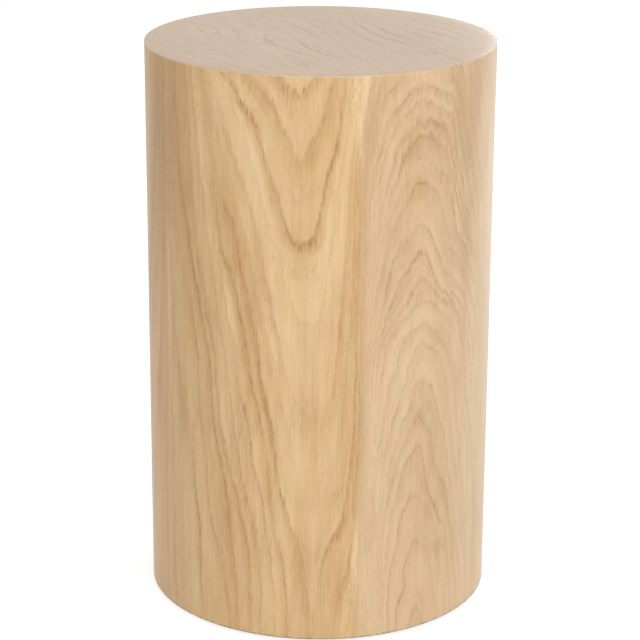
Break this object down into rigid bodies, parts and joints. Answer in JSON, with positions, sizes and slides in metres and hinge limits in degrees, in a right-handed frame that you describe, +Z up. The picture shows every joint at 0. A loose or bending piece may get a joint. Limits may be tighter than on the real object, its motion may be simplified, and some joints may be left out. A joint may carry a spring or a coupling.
{
  "type": "drum side table",
  "caption": "Closed cylindrical side table in oak veneer, with a flat round top and recessed rubber feet.",
  "frame": {"origin": "on the floor at the centre of the drum", "axes": "+Z up; -Y towards the front, the side where one veneer seam shows 13 degrees right of the middle; +X to the right seen from the front"},
  "size_m": [0.35, 0.35, 0.575],
  "materials": {
    "oak_top": "satin clear lacquer on crown-cut oak veneer",
    "oak_wall": "satin clear lacquer on crown-cut oak veneer",
    "bent_plywood": "raw bent plywood",
    "softwood": "raw planed softwood",
    "fibreboard": "raw medium-density fibreboard",
    "balancing_veneer": "raw veneer",
    "birch_plywood": "raw birch plywood",
    "foot_rubber": "matt black rubber",
    "screw_steel": "zinc-plated steel"
  },
  "bodies": {
    "root": {"top_veneer": "oak_top", "wall_veneer_1": "oak_wall", "wall_veneer_2": "oak_wall", "wall_veneer_3": "oak_wall", "wall_veneer_4": "oak_wall", "wall_veneer_5": "oak_wall", "shell_front": "bent_plywood", "shell_back": "bent_plywood", "splice_left": "softwood", "splice_right": "softwood", "top_panel": "fibreboard", "top_balancer": "balancing_veneer", "base_panel": "birch_plywood", "top_ring": "birch_plywood", "middle_ring": "birch_plywood", "bottom_ring": "birch_plywood", "post_1": "softwood", "post_2": "softwood", "post_3": "softwood", "post_4": "softwood", "foot_1": "foot_rubber", "foot_2": "foot_rubber", "foot_3": "foot_rubber", "foot_4": "foot_rubber", "top_screws": "screw_steel", "base_screws": "screw_steel", "post_screws": "screw_steel", "foot_screws": "screw_steel"}
  },
  "joints": []
}
